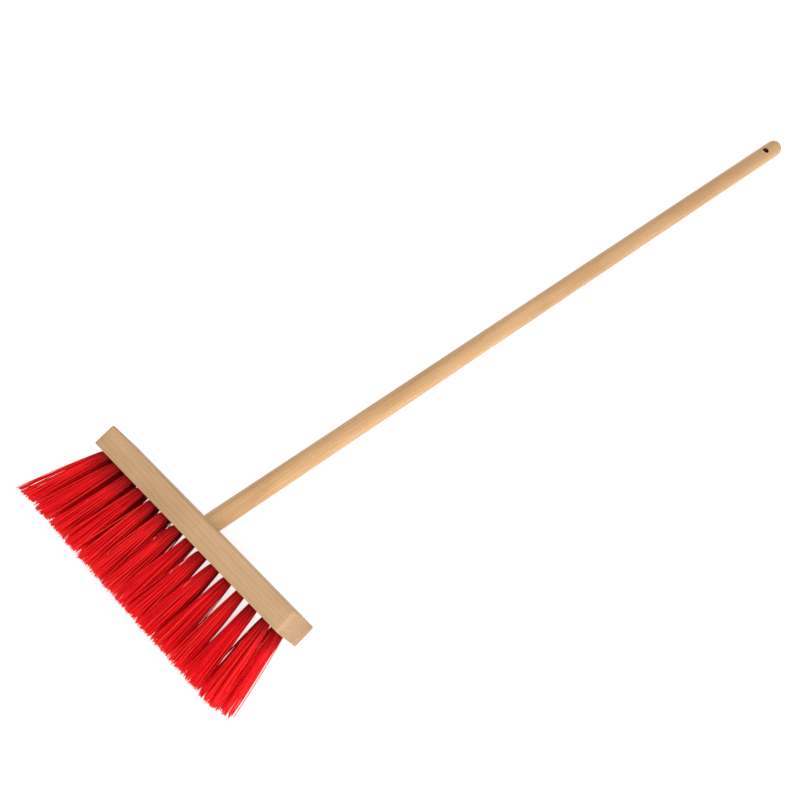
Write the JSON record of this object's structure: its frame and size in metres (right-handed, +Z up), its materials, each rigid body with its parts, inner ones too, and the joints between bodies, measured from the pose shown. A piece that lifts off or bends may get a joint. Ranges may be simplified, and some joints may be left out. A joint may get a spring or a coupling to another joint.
{
  "type": "push broom",
  "caption": "Push broom with a rectangular beech block, flared rows of stiff red plastic bristle tufts and a long slanted round beech handle with a hanging hole.",
  "frame": {"origin": "middle of the footprint, on the floor that the broom lies on with its back down", "axes": "+X along the block, +Y from the bristles towards the handle's free end, +Z up out of the block's front face side"},
  "size_m": [0.3418, 1.227, 0.116],
  "materials": {
    "beech_block": "sanded raw beech, long grain along the block",
    "beech_handle": "turned beech dowel with a thin clear finish",
    "bristle_tufts": "loose bundle of glossy bright red plastic filaments",
    "bristle_roots": "packed red plastic filaments",
    "screw_steel": "zinc plated",
    "anchor_wire": "flat bright wire"
  },
  "bodies": {
    "head": {"block": "beech_block", "handle": "beech_handle", "handle_screw": "screw_steel", "tuft_roots_front": "bristle_roots", "tuft_roots_middle": "bristle_roots", "tuft_roots_rear": "bristle_roots", "wire_anchors_front": "anchor_wire", "wire_anchors_middle": "anchor_wire", "wire_anchors_rear": "anchor_wire"},
    "front_row": {"tuft_front_01": "bristle_tufts", "tuft_front_02": "bristle_tufts", "tuft_front_03": "bristle_tufts", "tuft_front_04": "bristle_tufts", "tuft_front_05": "bristle_tufts", "tuft_front_06": "bristle_tufts", "tuft_front_07": "bristle_tufts", "tuft_front_08": "bristle_tufts", "tuft_front_09": "bristle_tufts", "tuft_front_10": "bristle_tufts", "tuft_front_11": "bristle_tufts", "tuft_front_12": "bristle_tufts", "tuft_front_13": "bristle_tufts", "tuft_front_14": "bristle_tufts"},
    "middle_row": {"tuft_middle_01": "bristle_tufts", "tuft_middle_02": "bristle_tufts", "tuft_middle_03": "bristle_tufts", "tuft_middle_04": "bristle_tufts", "tuft_middle_05": "bristle_tufts", "tuft_middle_06": "bristle_tufts", "tuft_middle_07": "bristle_tufts", "tuft_middle_08": "bristle_tufts", "tuft_middle_09": "bristle_tufts", "tuft_middle_10": "bristle_tufts", "tuft_middle_11": "bristle_tufts", "tuft_middle_12": "bristle_tufts", "tuft_middle_13": "bristle_tufts", "tuft_middle_14": "bristle_tufts"},
    "rear_row": {"tuft_rear_01": "bristle_tufts", "tuft_rear_02": "bristle_tufts", "tuft_rear_03": "bristle_tufts", "tuft_rear_04": "bristle_tufts", "tuft_rear_05": "bristle_tufts", "tuft_rear_06": "bristle_tufts", "tuft_rear_07": "bristle_tufts", "tuft_rear_08": "bristle_tufts", "tuft_rear_09": "bristle_tufts", "tuft_rear_10": "bristle_tufts", "tuft_rear_11": "bristle_tufts", "tuft_rear_12": "bristle_tufts", "tuft_rear_13": "bristle_tufts", "tuft_rear_14": "bristle_tufts"}
  },
  "joints": [
    {"name": "front_row_flex", "type": "hinge", "parent": "head", "child": "front_row", "pos_m": [0.00745, -0.51727, 0.0975], "axis": [1, 0, 0], "range_deg": [-20, 20], "stiffness_Nm_per_rad": 6},
    {"name": "middle_row_flex", "type": "hinge", "parent": "head", "child": "middle_row", "pos_m": [0.00745, -0.50847, 0.0741], "axis": [1, 0, 0], "range_deg": [-20, 20], "stiffness_Nm_per_rad": 6},
    {"name": "rear_row_flex", "type": "hinge", "parent": "head", "child": "rear_row", "pos_m": [0.00745, -0.49967, 0.0507], "axis": [1, 0, 0], "range_deg": [-20, 20], "stiffness_Nm_per_rad": 6}
  ],
  "couplings": [
    {"joint": "middle_row_flex", "follows": "front_row_flex", "ratio": 1},
    {"joint": "rear_row_flex", "follows": "front_row_flex", "ratio": 1}
  ]
}
